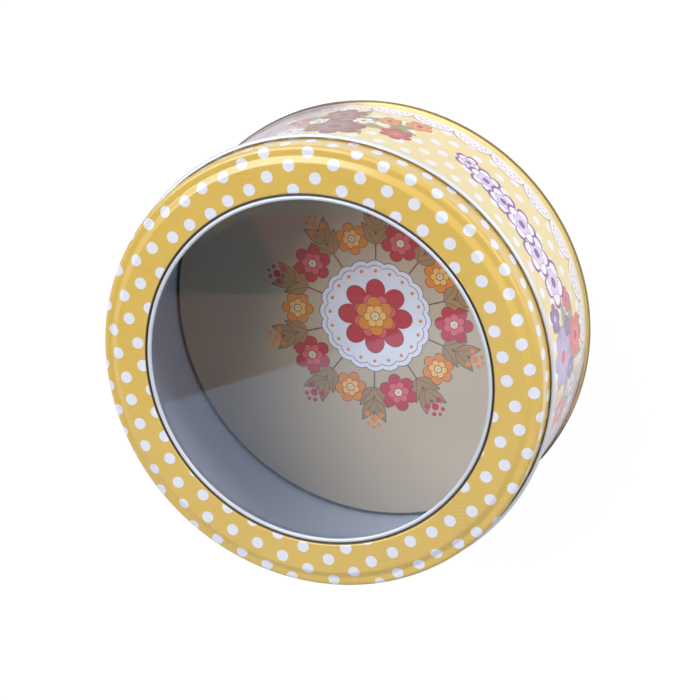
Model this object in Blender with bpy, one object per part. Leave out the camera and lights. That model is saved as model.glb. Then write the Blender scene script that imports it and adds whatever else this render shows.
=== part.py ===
"""Round cookie tin with a clear window in its lift-off lid.

The tin is made as the real one is, from bent sheet: every metal piece is one path of straight runs
and bends, given the sheet's thickness and turned about the tin's axis. The body stands on z = 0,
and the lid is modelled about the plane of its own panel and hung from an empty at that height.
"""
import math

import bmesh
import bpy
from mathutils import Vector

MM = 0.001

# Driving dimensions of the whole tin
FACETS = 40                        # flats round every turned piece
ARC_STEP = math.radians(36)        # most that one straight piece of a bend may turn
SHEET = 0.25 * MM                  # thickness of the tinplate
BODY_RADIUS = 94.45 * MM           # outside of the body's wall
TOTAL_HEIGHT = 82.0 * MM           # floor to the top of the lid's panel
SLIP_CLEARANCE = 0.3 * MM          # between the lid and the body, at the side and on top
SEAM_CLEARANCE = 0.2 * MM          # between the folded layers of the base seam
BOND_GAP = 0.3 * MM                # film between the lid's lip, the ring and the pane

# Lid
RIM_WIDTH = 19.65 * MM             # skirt's outside to the edge of the window opening
LIP_LENGTH = 0.1 * MM              # straight lip turned down round the opening
LIP_BEND = 0.95 * MM               # inside radius of the bend above the lip
STEP_DROP = 1.5 * MM               # panel's height above the ledge
STEP_ANGLE = math.radians(30)      # slope of the step below the horizontal
STEP_BEND = 1.1 * MM               # inside radius of the step's two bends
LEDGE_WIDTH = 1.75 * MM            # flat ledge between the step and the shoulder
SHOULDER_RADIUS = 2.0 * MM         # outside radius of the shoulder
SKIRT_DEPTH = 15.7 * MM            # panel's top to the lowest point of the curl
LID_CURL_RADIUS = 1.1 * MM         # outside radius of the curl at the skirt's end
LID_CURL_TURN = math.radians(280)  # how far the curl turns outward

# Window
PANE_THICKNESS = 0.35 * MM
BEAD_GAP = 0.6 * MM                # between the ring's bead and the lid's lip
BEAD_RADIUS = 0.9 * MM             # outside radius of the rolled bead
BEAD_TURN = math.radians(215)      # how far the bead turns from its outer side
BEAD_WEB = 0.525 * MM              # straight web under the bead
BEAD_BEND = 0.175 * MM             # inside radius of the bend below the web
RING_MARGIN = 1.6 * MM             # end of the flat panel to the outside of the ring
RING_GRIP = 6.0 * MM               # width of the ring's fold under the pane

# Body
BODY_CURL_TURN = math.radians(255)  # how far the top edge turns inward
SIDE_SEAM_WIDTH = 5.0 * MM
SIDE_SEAM_DEPTH = 0.5 * MM          # how far the locked seam stands inside the wall
SIDE_SEAM_FACET = 32                # flat that carries the seam, counted from +X
SIDE_SEAM_END_GAP = 2.0 * MM        # seam's ends to the base corner and to the top curl

# Base
BASE_RECESS = 1.8 * MM              # floor to the underside of the base panel
BASE_CORNER = 1.0 * MM              # inside radius between the panel and its upright wall
SEAM_HEIGHT = 3.1 * MM              # height of the double seam
SEAM_BEND = 0.35 * MM               # inside radius of the seam's two lower bends

# Colours of the printed and bare tinplate and of the pane
LID_GOLD = (0.66, 0.44, 0.11)
BODY_YELLOW = (0.83, 0.66, 0.30)
BARE_TIN = (0.62, 0.64, 0.68)
BASE_BEIGE = (0.64, 0.58, 0.50)
CLEAR = (0.95, 0.97, 0.98)

# Sizes that follow from the driving dimensions
HALF_SHEET = SHEET / 2
LID_RADIUS = BODY_RADIUS + SLIP_CLEARANCE + SHEET
OPENING_RADIUS = LID_RADIUS - RIM_WIDTH
LIP_DROP = SHEET + LIP_BEND + LIP_LENGTH
STEP_PATH_BEND = STEP_BEND + HALF_SHEET
STEP_SLOPE = (STEP_DROP - 2 * STEP_PATH_BEND * (1 - math.cos(STEP_ANGLE))) / math.sin(STEP_ANGLE)
STEP_WIDTH = 2 * STEP_PATH_BEND * math.sin(STEP_ANGLE) + STEP_SLOPE * math.cos(STEP_ANGLE)
PANEL_RADIUS = LID_RADIUS - SHOULDER_RADIUS - LEDGE_WIDTH - STEP_WIDTH
BODY_HEIGHT = TOTAL_HEIGHT - STEP_DROP - SHEET - SLIP_CLEARANCE
BODY_CURL_RADIUS = SHOULDER_RADIUS - SHEET - SLIP_CLEARANCE
RING_TOP = -(LIP_DROP + BOND_GAP)
PANE_TOP = RING_TOP - SHEET - BOND_GAP
FOLD_RADIUS = (PANE_THICKNESS + SHEET) / 2 + BOND_GAP
FOLD_CENTRE = PANEL_RADIUS - RING_MARGIN - HALF_SHEET - FOLD_RADIUS
SEAM_PITCH = SHEET + SEAM_CLEARANCE
WALL_PATH = BODY_RADIUS - HALF_SHEET
BASE_TOP = BASE_RECESS + SHEET


class SheetPath:
    """Middle line of a bent sheet in the (radius, height) half plane, drawn by runs and bends."""

    def __init__(self, radius, height, heading):
        self.point = Vector((radius, height))
        self.heading = heading
        self.stations = []
        self._keep()

    def _keep(self):
        left = Vector((-math.sin(self.heading), math.cos(self.heading)))
        self.stations.append((self.point.copy(), left))

    def run(self, length):
        """Goes straight on."""
        self.point += length * Vector((math.cos(self.heading), math.sin(self.heading)))
        self._keep()
        return self

    def bend(self, radius, turn):
        """Turns along an arc: to the left for a positive turn, to the right for a negative one."""
        side = math.copysign(1, turn)
        steps = max(2, math.ceil(abs(turn) / ARC_STEP))
        left = Vector((-math.sin(self.heading), math.cos(self.heading)))
        centre = self.point + side * radius * left
        for _ in range(steps):
            self.heading += turn / steps
            outward = Vector((math.sin(self.heading), -math.cos(self.heading)))
            self.point = centre + side * radius * outward
            self._keep()
        return self

    def outline(self):
        """Outline of the sheet: its left face forwards, then its right face back."""
        left = [point + HALF_SHEET * normal for point, normal in self.stations]
        right = [point - HALF_SHEET * normal for point, normal in self.stations]
        return left + right[::-1]


OUTWARD = 0.0
UP = math.pi / 2
DOWN = -math.pi / 2
QUARTER = math.pi / 2
HALF_TURN = math.pi


def clear_scene():
    for item in list(bpy.data.objects):
        bpy.data.objects.remove(item)


def make_material(name, colour, roughness, metallic, transmission=0.0):
    material = bpy.data.materials.new(name)
    material.use_nodes = True
    shader = material.node_tree.nodes["Principled BSDF"]
    shader.inputs["Base Color"].default_value = (*colour, 1.0)
    shader.inputs["Roughness"].default_value = roughness
    shader.inputs["Metallic"].default_value = metallic
    shader.inputs["Transmission Weight"].default_value = transmission
    return material


def add_empty(name, height):
    empty = bpy.data.objects.new(name, None)
    empty.location.z = height
    bpy.context.scene.collection.objects.link(empty)
    return empty


def add_object(name, bm, material, parent=None):
    """Closes a finished bmesh into a smooth-shaded object."""
    merge_distance = 0.001 * MM
    sharp_angle = math.radians(40)
    bmesh.ops.remove_doubles(bm, verts=bm.verts, dist=merge_distance)
    bmesh.ops.recalc_face_normals(bm, faces=bm.faces)
    mesh = bpy.data.meshes.new(name)
    bm.to_mesh(mesh)
    bm.free()
    mesh.shade_smooth()
    mesh.set_sharp_from_angle(angle=sharp_angle)
    mesh.materials.append(material)
    item = bpy.data.objects.new(name, mesh)
    item.parent = parent
    bpy.context.scene.collection.objects.link(item)
    return item


def turn_outline(name, outline, material, parent):
    """Turns an outline about the tin's axis; one that starts on the axis is left open there."""
    bm = bmesh.new()
    verts = [bm.verts.new((point.x, 0.0, point.y)) for point in outline]
    pairs = list(zip(verts, verts[1:]))
    if outline[0].x > 0:
        pairs.append((verts[-1], verts[0]))
    edges = [bm.edges.new(pair) for pair in pairs]
    bmesh.ops.spin(
        bm,
        geom=verts + edges,
        cent=(0, 0, 0),
        axis=(0, 0, 1),
        angle=2 * math.pi,
        steps=FACETS,
        use_merge=True,
    )
    return add_object(name, bm, material, parent)


def build_lid_shell(parent):
    """Lip, panel, step, ledge, shoulder, skirt and curl, from the opening outward."""
    lip_path_bend = LIP_BEND + HALF_SHEET
    curl_path = LID_CURL_RADIUS - HALF_SHEET
    panel_start = OPENING_RADIUS + SHEET + LIP_BEND
    skirt_length = SKIRT_DEPTH - LID_CURL_RADIUS - STEP_DROP - SHOULDER_RADIUS
    path = SheetPath(OPENING_RADIUS + HALF_SHEET, -LIP_DROP, UP)
    path.run(LIP_LENGTH)
    path.bend(lip_path_bend, -QUARTER)
    path.run(PANEL_RADIUS - panel_start)
    path.bend(STEP_PATH_BEND, -STEP_ANGLE)
    path.run(STEP_SLOPE)
    path.bend(STEP_PATH_BEND, STEP_ANGLE)
    path.run(LEDGE_WIDTH)
    path.bend(SHOULDER_RADIUS - HALF_SHEET, -QUARTER)
    path.run(skirt_length)
    path.bend(curl_path, LID_CURL_TURN)
    gold = make_material("lid_print", LID_GOLD, 0.35, 0.1)
    return turn_outline("lid_shell", path.outline(), gold, parent)


def build_window_ring(parent):
    """Grip under the pane, fold round its edge, seat under the lid's lip, web and rolled bead."""
    web_path = OPENING_RADIUS - BEAD_GAP - HALF_SHEET
    bead_path_bend = BEAD_BEND + HALF_SHEET
    grip_height = RING_TOP - HALF_SHEET - 2 * FOLD_RADIUS
    path = SheetPath(FOLD_CENTRE - RING_GRIP, grip_height, OUTWARD)
    path.run(RING_GRIP)
    path.bend(FOLD_RADIUS, HALF_TURN)
    path.run(FOLD_CENTRE - web_path - bead_path_bend)
    path.bend(bead_path_bend, -QUARTER)
    path.run(BEAD_WEB)
    path.bend(BEAD_RADIUS - HALF_SHEET, BEAD_TURN)
    tin = make_material("ring_tin", BARE_TIN, 0.25, 0.9)
    return turn_outline("window_ring", path.outline(), tin, parent)


def build_window_pane(parent):
    """Flat disc that reaches into the ring's fold."""
    bottom = PANE_TOP - PANE_THICKNESS
    outline = [
        Vector((0, PANE_TOP)),
        Vector((FOLD_CENTRE, PANE_TOP)),
        Vector((FOLD_CENTRE, bottom)),
        Vector((0, bottom)),
    ]
    clear = make_material("pane_clear", CLEAR, 0.05, 0.0, transmission=1.0)
    return turn_outline("window_pane", outline, clear, parent)


def build_side_seam():
    """Locked seam along one flat of the wall's inside, sunk to the wall's middle to join it."""
    seam_angle = 2 * math.pi * (SIDE_SEAM_FACET + 0.5) / FACETS
    flat = math.cos(math.pi / FACETS)
    outside = WALL_PATH * flat
    inside = (BODY_RADIUS - SHEET) * flat - SIDE_SEAM_DEPTH
    low = BASE_TOP + SIDE_SEAM_END_GAP
    high = BODY_HEIGHT - 2 * BODY_CURL_RADIUS - SIDE_SEAM_END_GAP
    bm = bmesh.new()
    bmesh.ops.create_cube(bm, size=1.0)
    bmesh.ops.scale(bm, verts=bm.verts, vec=(outside - inside, SIDE_SEAM_WIDTH, high - low))
    bmesh.ops.translate(bm, verts=bm.verts, vec=((outside + inside) / 2, 0, (low + high) / 2))
    seam = add_object("side_seam_shape", bm, bpy.data.materials["body_print"])
    seam.rotation_euler.z = seam_angle
    seam.hide_render = True
    seam.display_type = "WIRE"
    return seam


def build_body_wall(parent):
    """Hook of the base seam, wall and inward curl, with the locked side seam joined on."""
    curl_path = BODY_CURL_RADIUS - HALF_SHEET
    turn_height = HALF_SHEET + 2 * SEAM_PITCH
    hook_end = SEAM_HEIGHT - HALF_SHEET - SEAM_PITCH
    path = SheetPath(WALL_PATH + 2 * SEAM_PITCH, hook_end, DOWN)
    path.run(hook_end - turn_height)
    path.bend(SEAM_PITCH, -HALF_TURN)
    path.run(BODY_HEIGHT - BODY_CURL_RADIUS - turn_height)
    path.bend(curl_path, BODY_CURL_TURN)
    yellow = make_material("body_print", BODY_YELLOW, 0.35, 0.1)
    wall = turn_outline("body_wall", path.outline(), yellow, parent)
    union = wall.modifiers.new("side_seam", "BOOLEAN")
    union.operation = "UNION"
    union.solver = "EXACT"
    union.object = build_side_seam()
    return wall


def build_base_panel(parent):
    """Panel, upright wall inside the body, rim that the tin stands on, and hook over the body's."""
    upright_path = WALL_PATH - SEAM_PITCH
    outer_path = WALL_PATH + 3 * SEAM_PITCH
    corner_path = BASE_CORNER + HALF_SHEET
    rim_bend = SEAM_BEND + HALF_SHEET
    hook_low = HALF_SHEET + 2 * SEAM_PITCH
    hook_high = SEAM_HEIGHT - HALF_SHEET - SEAM_PITCH
    path = SheetPath(0.0, BASE_RECESS + HALF_SHEET, OUTWARD)
    path.run(upright_path - corner_path)
    path.bend(corner_path, -QUARTER)
    path.run(BASE_RECESS - corner_path - rim_bend)
    path.bend(rim_bend, QUARTER)
    path.run(outer_path - upright_path - 2 * rim_bend)
    path.bend(rim_bend, QUARTER)
    path.run(hook_high - rim_bend - HALF_SHEET)
    path.bend(SEAM_PITCH, HALF_TURN)
    path.run(hook_high - hook_low)
    beige = make_material("base_print", BASE_BEIGE, 0.4, 0.3)
    return turn_outline("base_panel", path.outline(), beige, parent)


def build_tin():
    clear_scene()
    tin = add_empty("tin", 0.0)
    lid = add_empty("lid", TOTAL_HEIGHT)
    lid.parent = tin
    build_body_wall(tin)
    build_base_panel(tin)
    build_lid_shell(lid)
    build_window_ring(lid)
    build_window_pane(lid)


build_tin()
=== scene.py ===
"""Looks of a round cookie tin: a dotted lid with a clear window, a printed body and a printed base.

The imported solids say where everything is. Each bent-sheet piece is drawn again here as a path of runs
and bends, turned about the tin's axis by a Geometry Nodes tree and dressed in a finish whose print is
worked out by nodes from the piece's own coordinates. Lengths are in millimetres up to the mesh.
"""
from __future__ import annotations

import logging
import math
from dataclasses import dataclass, field, replace
from enum import Enum, IntEnum
from functools import reduce
from typing import Callable, Iterable, Mapping, NamedTuple, Sequence, Union

import bmesh
import bpy
from mathutils import Matrix, Vector

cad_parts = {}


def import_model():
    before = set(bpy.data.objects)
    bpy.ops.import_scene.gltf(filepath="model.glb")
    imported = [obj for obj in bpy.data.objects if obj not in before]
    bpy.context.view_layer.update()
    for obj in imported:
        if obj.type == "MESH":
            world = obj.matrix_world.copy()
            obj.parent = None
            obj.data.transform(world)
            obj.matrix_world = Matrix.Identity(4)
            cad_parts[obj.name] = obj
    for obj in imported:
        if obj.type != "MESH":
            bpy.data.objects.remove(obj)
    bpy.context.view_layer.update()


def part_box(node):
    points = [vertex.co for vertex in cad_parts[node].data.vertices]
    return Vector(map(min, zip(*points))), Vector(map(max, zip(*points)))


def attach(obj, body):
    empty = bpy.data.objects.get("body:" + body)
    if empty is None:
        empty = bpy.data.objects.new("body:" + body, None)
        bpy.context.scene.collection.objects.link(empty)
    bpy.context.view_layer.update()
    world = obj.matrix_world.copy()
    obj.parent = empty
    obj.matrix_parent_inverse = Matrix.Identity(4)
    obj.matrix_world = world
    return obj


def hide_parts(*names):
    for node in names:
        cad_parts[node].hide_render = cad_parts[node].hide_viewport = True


LOG = logging.getLogger("cookie_tin")
PRINCIPLED = "Principled BSDF"
MM = 0.001

Colour = tuple[float, float, float]
Tree = bpy.types.NodeTree
Socket = bpy.types.NodeSocket

OUTWARD = 0.0
UP = math.pi / 2
DOWN = -math.pi / 2
QUARTER = math.pi / 2
HALF_TURN = math.pi
FULL_TURN = 2 * math.pi


def srgb(red: int, green: int, blue: int) -> Colour:
    """Turns a colour as a screen shows it into the linear light that a shader takes.

    Args:
        red, green, blue: levels from 0 to 255.

    Returns:
        The three linear levels, from 0 to 1.
    """
    def linear(level: int) -> float:
        """One channel of the conversion."""
        share = level / 255
        return share / 12.92 if share <= 0.04045 else ((share + 0.055) / 1.055) ** 2.4

    return linear(red), linear(green), linear(blue)


class Ink(Enum):
    """Inks, lacquers and bare metal of the tin, and the painted shades that are laid like inks."""

    GOLD = srgb(223, 187, 90)
    YELLOW = srgb(238, 219, 163)
    WHITE = srgb(232, 235, 251)
    MILK = srgb(245, 239, 247)
    BEIGE = srgb(191, 176, 154)
    RIM_BROWN = srgb(130, 102, 60)
    # painted shade: dark gold on the lid's lip roll
    GROOVE = srgb(140, 112, 64)
    # grey brown: painted shade in the window ring's groove, and a dark line along the seam's outer edge
    COMPOUND = srgb(112, 102, 90)
    # painted shade at the base's corner
    EDGE_DARK = srgb(60, 56, 54)
    TIN = srgb(214, 218, 229)
    SATIN = srgb(206, 211, 222)
    TIN_WEAR = srgb(206, 198, 182)
    INSIDE_GREY = srgb(208, 219, 243)
    CREAM = srgb(238, 222, 188)
    PALE_YELLOW = srgb(254, 243, 192)
    CRIMSON = srgb(190, 44, 66)
    ROSE = srgb(222, 96, 108)
    ORANGE = srgb(226, 136, 52)
    AMBER = srgb(244, 188, 104)
    BROWN = srgb(92, 52, 42)
    LEAF_BROWN = srgb(164, 132, 92)
    DUSTY_ROSE = srgb(142, 84, 82)
    DUSTY_BROWN = srgb(132, 86, 82)
    LAVENDER = srgb(182, 160, 208)
    VIOLET = srgb(126, 88, 152)
    CORAL = srgb(222, 90, 86)
    GREY_GREEN = srgb(150, 168, 146)
    OLIVE = srgb(158, 158, 104)
    HAZE = srgb(194, 173, 186)
    TEAL = srgb(178, 206, 196)
    PURPLE = srgb(134, 88, 160)
    LILAC = srgb(226, 210, 238)
    LACE_GREY = srgb(140, 130, 156)
    LACE_BROWN = srgb(142, 114, 88)


class InkPair(Enum):
    """Two inks that a printed shape takes by turns."""

    ROSE = (Ink.DUSTY_ROSE, Ink.LAVENDER)
    DEEP_ROSE = (Ink.DUSTY_ROSE, Ink.CORAL)
    CRIMSON = (Ink.CRIMSON, Ink.CORAL)
    ORANGE = (Ink.ORANGE, Ink.LILAC)
    WHITE = (Ink.MILK, Ink.VIOLET)
    BROWN = (Ink.DUSTY_BROWN, Ink.CORAL)
    DEEP_BROWN = (Ink.DUSTY_BROWN, Ink.CRIMSON)
    LEAF = (Ink.OLIVE, Ink.GREY_GREEN)
    PEN = (Ink.DUSTY_BROWN, Ink.VIOLET)
    WREATH = (Ink.CRIMSON, Ink.ORANGE)
    WREATH_INNER = (Ink.ROSE, Ink.AMBER)


class Side(IntEnum):
    """The two faces of a sheet: the one that carries the print, and the other."""

    PRINT = 0
    BARE = 1


class Body(Enum):
    """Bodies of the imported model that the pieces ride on."""

    TIN = "tin"
    LID = "lid"


class Ray(Enum):
    """Kinds of light ray, each by the output that marks it."""

    CAMERA = "Is Camera Ray"
    SHADOW = "Is Shadow Ray"
    DIFFUSE = "Is Diffuse Ray"
    GLOSSY = "Is Glossy Ray"
    TRANSMISSION = "Is Transmission Ray"


def add_node(tree: Tree, kind: str, **settings: object) -> bpy.types.Node:
    """Adds a node and sets its own properties.

    Args:
        tree: the tree that takes the node.
        kind: Blender's name for the type of node.
        settings: properties of the node, by name.

    Returns:
        The new node.
    """
    node = tree.nodes.new(kind)
    for name, value in settings.items():
        setattr(node, name, value)
    return node


class Field:
    """A number that varies over a surface: one output of a node tree, with arithmetic."""

    def __init__(self, socket: Socket) -> None:
        """Wraps an output of a tree."""
        self.tree: Tree = socket.id_data
        self.socket = socket

    def math(self, operation: str, *others: Amount, clamp: bool = False) -> Field:
        """Applies a Math node to this field.

        Args:
            operation: Blender's name for the operation.
            others: the node's other inputs, fields or numbers.
            clamp: whether the result is held between 0 and 1.

        Returns:
            The node's result.
        """
        node = add_node(self.tree, "ShaderNodeMath", operation=operation, use_clamp=clamp)
        for socket, value in zip(node.inputs, (self, *others)):
            plug(socket, value)
        return Field(node.outputs[0])

    def __add__(self, other: Amount) -> Field:
        """Sum."""
        return self.math("ADD", other)

    def __sub__(self, other: Amount) -> Field:
        """Difference."""
        return self.math("SUBTRACT", other)

    def __rsub__(self, other: Amount) -> Field:
        """Difference from a number."""
        return self.math("MULTIPLY_ADD", -1.0, other)

    def __mul__(self, other: Amount) -> Field:
        """Product, which is also where two masks meet."""
        return self.math("MULTIPLY", other)

    def __truediv__(self, other: Amount) -> Field:
        """Quotient."""
        return self.math("DIVIDE", other)

    def __neg__(self) -> Field:
        """The field with its sign turned."""
        return self.math("MULTIPLY", -1.0)

    def __abs__(self) -> Field:
        """Size without its sign."""
        return self.math("ABSOLUTE")

    def __or__(self, other: Amount) -> Field:
        """The greater of two, which joins two masks."""
        return self.math("MAXIMUM", other)

    def __and__(self, other: Amount) -> Field:
        """The lesser of two."""
        return self.math("MINIMUM", other)

    def wrap(self, low: Amount, high: Amount) -> Field:
        """Repeats the span from low to high."""
        return self.math("WRAP", high, low)

    def nearest(self) -> Field:
        """The nearest whole number."""
        return (self + 0.5).math("FLOOR")

    def odd(self) -> Field:
        """1 where a whole number is odd, and 0 where it is even."""
        return self.math("FLOORED_MODULO", 2.0)

    def power(self, exponent: float) -> Field:
        """Raises the field to a power."""
        return self.math("POWER", exponent)

    def below(self, edge: Amount, soft: float) -> Field:
        """Masks where the field is under an edge.

        Args:
            edge: where the mask is half covered.
            soft: half the width of the mask's fading edge.

        Returns:
            1 well below the edge and 0 well above it.
        """
        steep = 0.5 / soft
        if isinstance(edge, Field):
            return (self - edge).math("MULTIPLY_ADD", -steep, 0.5, clamp=True)
        return self.math("MULTIPLY_ADD", -steep, 0.5 + edge * steep, clamp=True)

    def above(self, edge: Amount, soft: float) -> Field:
        """Masks where the field is over an edge."""
        return 1.0 - self.below(edge, soft)

    def between(self, low: float, high: float, soft: float) -> Field:
        """Masks where the field is in a span."""
        return abs(self - (low + high) / 2).below((high - low) / 2, soft)


Amount = Union[Field, float]
Fields = dict[str, Field]


def plug(socket: Socket, value: object) -> None:
    """Feeds an input: links a field or an output, or sets a constant on the socket itself.

    Args:
        socket: the input.
        value: a field, an output, an ink or a shade, or another constant.
    """
    if isinstance(value, Field):
        value = value.socket
    if isinstance(value, bpy.types.NodeSocket):
        socket.id_data.links.new(value, socket)
    elif isinstance(value, Enum):
        socket.default_value = (*value.value, 1.0)[:len(socket.default_value)]
    else:
        socket.default_value = value


def feed(node: bpy.types.Node, values: Mapping[str, object]) -> None:
    """Feeds several inputs of a node by name."""
    for title, value in values.items():
        plug(node.inputs[title], value)


def length_of(along: Field, across: Field) -> Field:
    """Distance from the origin of two fields at right angles."""
    return (along * along + across * across).math("SQRT")


def turned(along: Field, across: Field, angle: float) -> tuple[Field, Field]:
    """Reads two coordinates on axes turned by an angle.

    Args:
        along, across: the coordinates to read.
        angle: turn of the new axes, in radians.

    Returns:
        The coordinates on the new axes.
    """
    cosine = math.cos(angle)
    sine = math.sin(angle)
    return along * cosine + across * sine, across * cosine - along * sine


class EffectGroup:
    """A shader node group with named inputs and outputs, built once and placed where it is used."""

    def __init__(
        self, name: str, inputs: Mapping[str, object], draw: Callable[[Fields], Fields]
    ) -> None:
        """Builds the group.

        Args:
            name: the group's name.
            inputs: each input's name and default, a number or a vector.
            draw: takes the inputs, adds the group's nodes and returns its outputs, all by name.
        """
        self.tree = bpy.data.node_groups.new(name, "ShaderNodeTree")
        for title, default in inputs.items():
            kind = "NodeSocketVector" if isinstance(default, tuple) else "NodeSocketFloat"
            socket = self.tree.interface.new_socket(title, in_out="INPUT", socket_type=kind)
            socket.default_value = default
        entry = add_node(self.tree, "NodeGroupInput")
        given = {title: Field(entry.outputs[title]) for title in inputs}
        results = draw(given)
        for title in results:
            self.tree.interface.new_socket(title, in_out="OUTPUT", socket_type="NodeSocketFloat")
        feed(add_node(self.tree, "NodeGroupOutput"), results)

    def place(self, tree: Tree, values: Mapping[str, object]) -> Fields:
        """Puts the group into a tree.

        Args:
            tree: the tree that takes it.
            values: what its inputs are fed, by name.

        Returns:
            Its outputs by name.
        """
        node = add_node(tree, "ShaderNodeGroup", node_tree=self.tree)
        feed(node, values)
        return {socket.name: Field(socket) for socket in node.outputs}


def add_noise(place: Socket, scale: float, detail: float) -> Field:
    """Adds a noise texture in the piece's own space.

    Args:
        place: output that holds the vector the noise is read at.
        scale: waves in each unit of that vector.
        detail: how many finer layers it has.

    Returns:
        The noise, about 0.5 on average.
    """
    noise = add_node(place.id_data, "ShaderNodeTexNoise")
    feed(noise, {"Vector": place, "Scale": scale, "Detail": detail})
    return Field(noise.outputs["Fac"])


def add_bump(height: Field, distance: float, strength: float = 1.0) -> Socket:
    """Adds a Bump node.

    Args:
        height: the relief.
        distance: how far a relief of 1 stands out, in metres.
        strength: how much of the relief shows.

    Returns:
        The normals.
    """
    bump = add_node(height.tree, "ShaderNodeBump")
    feed(bump, {"Strength": strength, "Distance": distance, "Height": height})
    return bump.outputs["Normal"]


def new_material(name: str) -> tuple[bpy.types.Material, Tree]:
    """Starts a material.

    Args:
        name: its name.

    Returns:
        The material and its node tree, which holds a Principled shader.
    """
    material = bpy.data.materials.new(name)
    material.use_nodes = True
    return material, material.node_tree


def rays_of(tree: Tree, *kinds: Ray) -> Field:
    """1 for light rays of any of these kinds, and 0 for the others."""
    path = add_node(tree, "ShaderNodeLightPath")
    return reduce(Field.__or__, [Field(path.outputs[kind.value]) for kind in kinds])


def add_shader(tree: Tree, kind: str, *values: object) -> Socket:
    """Adds a shader node.

    Args:
        tree: the tree that takes it.
        kind: Blender's name for the type of node.
        values: what its first inputs are fed, in order.

    Returns:
        The shader.
    """
    node = add_node(tree, kind)
    for socket, value in zip(node.inputs, values):
        plug(socket, value)
    return node.outputs[0]


def show(shader: Socket) -> None:
    """Makes a shader the surface of its material."""
    plug(shader.id_data.nodes["Material Output"].inputs["Surface"], shader)


def add_object(name: str, content: bpy.types.ID) -> bpy.types.Object:
    """Adds an object to the scene.

    Args:
        name: its name.
        content: its mesh, lamp or camera.

    Returns:
        The object, at the origin.
    """
    added = bpy.data.objects.new(name, content)
    bpy.context.scene.collection.objects.link(added)
    return added


PRINT_SOFT = 0.09  # half of the soft edge of a printed shape, in millimetres
NOISE_MEAN = 0.5  # what a noise texture gives on average


def draw_polka_dots(given: Fields) -> Fields:
    """Draws round dots in rows, each row set off from the last, with the odd rows slipped a little.

    Args:
        given: the group's inputs.

    Returns:
        The mask of the dots.
    """
    row = (given["Across"] / given["Row Pitch"]).nearest()
    half = given["Spacing"] * 0.5
    along = (given["Along"] - row * given["Lean"] - row.odd() * given["Slip"]).wrap(-half, half)
    across = given["Across"] - row * given["Row Pitch"]
    return {"Dot": length_of(along, across).below(given["Radius"], PRINT_SOFT)}


def draw_blossom(given: Fields) -> Fields:
    """Draws a flower from above: a ring of round petals, a smaller ring inside it, and a heart.

    Args:
        given: the group's inputs.

    Returns:
        Masks of the flower's parts and lines, and how far inside the petals' edge a point lies.
    """
    notch = 0.64
    roundness = 0.6
    inner_share = 0.6
    heart_share = 0.22
    line_half = 0.16
    reach = length_of(given["Along"], given["Across"])
    swing = (given["Across"].math("ARCTAN2", given["Along"]) + given["Turn"]) * (given["Petals"] * 0.5)
    lobe = abs(swing.math("COSINE"))
    lobe_between = abs(swing.math("SINE"))
    outer = given["Radius"] * (lobe.power(roundness) * (1 - notch) + notch)
    inner = given["Radius"] * (lobe_between.power(roundness) * (1 - notch) + notch) * inner_share
    heart = given["Radius"] * heart_share
    petals = reach.below(outer, PRINT_SOFT)
    inside = reach.below(inner, PRINT_SOFT)
    crease = (lobe * reach).below(line_half, PRINT_SOFT) * (1.0 - inside)
    crease_between = (lobe_between * reach).below(line_half, PRINT_SOFT) * inside
    rings = abs(reach - outer) & abs(reach - inner) & abs(reach - heart)
    depth = 1.0 - (reach / outer).math("MINIMUM", 1.0, clamp=True)
    return {
        "Petals": petals,
        "Inner": inside,
        "Heart": reach.below(heart, PRINT_SOFT),
        "Line": rings.below(line_half, PRINT_SOFT) | (crease | crease_between) * petals,
        "Depth": depth * petals,
    }


def draw_leaf(given: Fields) -> Fields:
    """Draws a pointed leaf that starts at the origin and lies along its first axis, with its midrib.

    Args:
        given: the group's inputs.

    Returns:
        Masks of the leaf and of its lines.
    """
    line_half = 0.15
    rib_half = 0.105
    fullness = 0.8
    share = (given["Along"] / given["Length"]).math("MULTIPLY", 1.0, clamp=True)
    half = given["Width"] * 0.5 * (share.power(fullness) * math.pi).math("SINE")
    past = abs(given["Across"]) - half
    on = given["Along"].above(0.0, PRINT_SOFT) * given["Along"].below(given["Length"], PRINT_SOFT)
    leaf = past.below(0.0, PRINT_SOFT) * on
    edge = abs(past).below(line_half, PRINT_SOFT) * on
    rib = abs(given["Across"]).below(rib_half, PRINT_SOFT) * leaf
    return {"Leaf": leaf, "Line": edge | rib}


def draw_sheet_grain(given: Fields) -> Fields:
    """Draws the marks of rolled tinplate: cloudy tone, streaks along the mill's direction, pin scuffs.

    Args:
        given: the group's inputs.

    Returns:
        How the marks change the tone, the roughness and the height of the sheet.
    """
    mill_scale = (0.12, 3.0, 3.0)
    streak_gloss = 0.12
    cloud_gloss = 0.16
    scuff_gloss = 0.1
    place = given["Place"].socket
    mill = add_node(place.id_data, "ShaderNodeMapping")
    feed(mill, {"Vector": place, "Scale": mill_scale})
    cloud = add_noise(place, scale=0.045, detail=3.0) - NOISE_MEAN
    streaks = add_noise(mill.outputs["Vector"], scale=1.0, detail=2.0)
    peel = add_noise(place, scale=0.55, detail=1.0)
    scuff = add_noise(place, scale=0.9, detail=4.0).above(edge=0.71, soft=0.02)
    streak = streaks - NOISE_MEAN
    return {
        "Tone": cloud * given["Cloud"] + streak * given["Streak"],
        "Gloss": streak * streak_gloss + cloud * cloud_gloss + scuff * scuff_gloss,
        "Height": streaks * given["Streak"] + peel * given["Peel"],
    }


def draw_edge_wear(given: Fields) -> Fields:
    """Draws where print is rubbed off a bend that stands proud, in short broken marks."""
    broken = add_noise(given["Place"].socket, scale=0.35, detail=5.0)
    return {"Worn": (given["Edge"] * broken).above(edge=1.0 - given["Amount"], soft=0.04)}


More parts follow.
